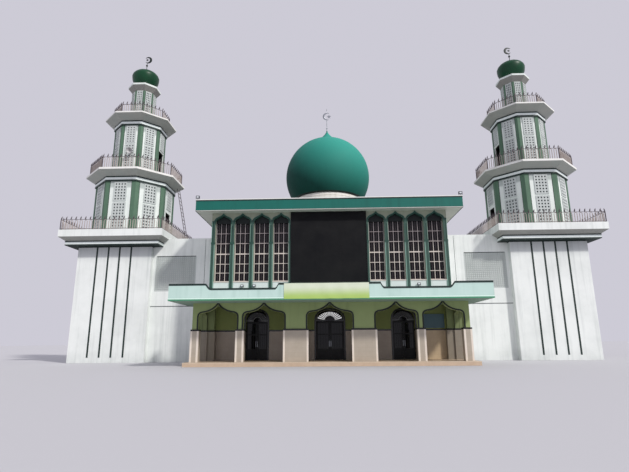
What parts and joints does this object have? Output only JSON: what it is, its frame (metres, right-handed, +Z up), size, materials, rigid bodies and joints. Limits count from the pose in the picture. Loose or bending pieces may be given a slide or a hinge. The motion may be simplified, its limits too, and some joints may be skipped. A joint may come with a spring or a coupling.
{
  "type": "mosque building",
  "caption": "Two-storey mosque with a domed hall, an arcaded porch under a parapet canopy, solid wings and two stepped octagonal minarets on square bases.",
  "frame": {"origin": "on the ground, under the middle of the porch front", "axes": "+X to the right seen from the street, +Y from the street into the hall, +Z up"},
  "size_m": [38.48, 21.86, 25.5562],
  "materials": {
    "balcony_concrete": "bare painted concrete",
    "banner_cloth": "printed cloth, bare",
    "bright_finial_metal": "bright metal",
    "dark_finial_metal": "dark painted metal",
    "door_dark_paint": "black frame and dark glass",
    "fascia_paint": "satin green",
    "floor_tile": "pinkish floor tile",
    "green_wall_paint": "soft green paint on render with a tiled dado",
    "main_dome_paint": "satin teal green",
    "minaret_dome_paint": "gloss dark green",
    "mint_wall_paint": "pale mint paint on render",
    "notice_board_paint": "blue-grey board, bare",
    "railing_steel": "dull painted steel",
    "sign_board_paint": "black board, bare",
    "vent_block_paint": "pierced vent blocks",
    "white_wall_paint": "painted render, weathered",
    "window_glass": "dark window glass"
  },
  "bodies": {
    "building": {"arcade_front": "green_wall_paint", "arcade_side_left": "green_wall_paint", "arcade_side_right": "green_wall_paint", "canopy": "mint_wall_paint", "canopy_banner": "banner_cloth", "dome_drum": "white_wall_paint", "dome_finial": "bright_finial_metal", "fanlight_centre": "door_dark_paint", "fanlight_left": "door_dark_paint", "fanlight_right": "door_dark_paint", "front_sign_board": "sign_board_paint", "front_wall_end_left": "green_wall_paint", "front_wall_end_right": "green_wall_paint", "front_wall_over_doors": "green_wall_paint", "front_wall_pier_left": "green_wall_paint", "front_wall_pier_right": "green_wall_paint", "front_wall_upper": "mint_wall_paint", "ground_floor_slab": "floor_tile", "hall_roof": "fascia_paint", "main_dome": "main_dome_paint", "minaret_left_balcony_2": "balcony_concrete", "minaret_left_balcony_3": "balcony_concrete", "minaret_left_base": "white_wall_paint", "minaret_left_dome": "minaret_dome_paint", "minaret_left_finial": "dark_finial_metal", "minaret_left_railing_1": "railing_steel", "minaret_left_railing_2": "railing_steel", "minaret_left_railing_3": "railing_steel", "minaret_left_stage_1": "mint_wall_paint", "minaret_left_stage_2": "mint_wall_paint", "minaret_left_stage_3": "mint_wall_paint", "minaret_right_balcony_2": "balcony_concrete", "minaret_right_balcony_3": "balcony_concrete", "minaret_right_base": "white_wall_paint", "minaret_right_dome": "minaret_dome_paint", "minaret_right_finial": "dark_finial_metal", "minaret_right_railing_1": "railing_steel", "minaret_right_railing_2": "railing_steel", "minaret_right_railing_3": "railing_steel", "minaret_right_stage_1": "mint_wall_paint", "minaret_right_stage_2": "mint_wall_paint", "minaret_right_stage_3": "mint_wall_paint", "notice_board": "notice_board_paint", "rear_wall": "white_wall_paint", "roof_ladder": "railing_steel", "side_wall_left": "white_wall_paint", "side_wall_right": "white_wall_paint", "upper_floor_slab": "balcony_concrete", "upper_window_glass": "window_glass", "vent_screen_left": "vent_block_paint", "vent_screen_right": "vent_block_paint", "wing_left": "white_wall_paint", "wing_right": "white_wall_paint"},
    "centre_leaf_left": {"door_centre_leaf_left": "door_dark_paint"},
    "centre_leaf_right": {"door_centre_leaf_right": "door_dark_paint"},
    "left_leaf_left": {"door_left_leaf_left": "door_dark_paint"},
    "left_leaf_right": {"door_left_leaf_right": "door_dark_paint"},
    "right_leaf_left": {"door_right_leaf_left": "door_dark_paint"},
    "right_leaf_right": {"door_right_leaf_right": "door_dark_paint"}
  },
  "joints": [
    {"name": "centre_doorway_left_hinge", "type": "hinge", "parent": "building", "child": "centre_leaf_left", "pos_m": [-0.8365, 2.8775, 0.233], "axis": [0, 0, 1], "range_deg": [0, 90]},
    {"name": "centre_doorway_right_hinge", "type": "hinge", "parent": "building", "child": "centre_leaf_right", "pos_m": [0.8365, 2.8775, 0.233], "axis": [0, 0, -1], "range_deg": [0, 90]},
    {"name": "left_doorway_left_hinge", "type": "hinge", "parent": "building", "child": "left_leaf_left", "pos_m": [-5.2915, 2.8775, 0.233], "axis": [0, 0, 1], "range_deg": [0, 90]},
    {"name": "left_doorway_right_hinge", "type": "hinge", "parent": "building", "child": "left_leaf_right", "pos_m": [-3.9685, 2.8775, 0.233], "axis": [0, 0, -1], "range_deg": [0, 90]},
    {"name": "right_doorway_left_hinge", "type": "hinge", "parent": "building", "child": "right_leaf_left", "pos_m": [3.9685, 2.8775, 0.233], "axis": [0, 0, 1], "range_deg": [0, 90]},
    {"name": "right_doorway_right_hinge", "type": "hinge", "parent": "building", "child": "right_leaf_right", "pos_m": [5.2915, 2.8775, 0.233], "axis": [0, 0, -1], "range_deg": [0, 90]}
  ]
}
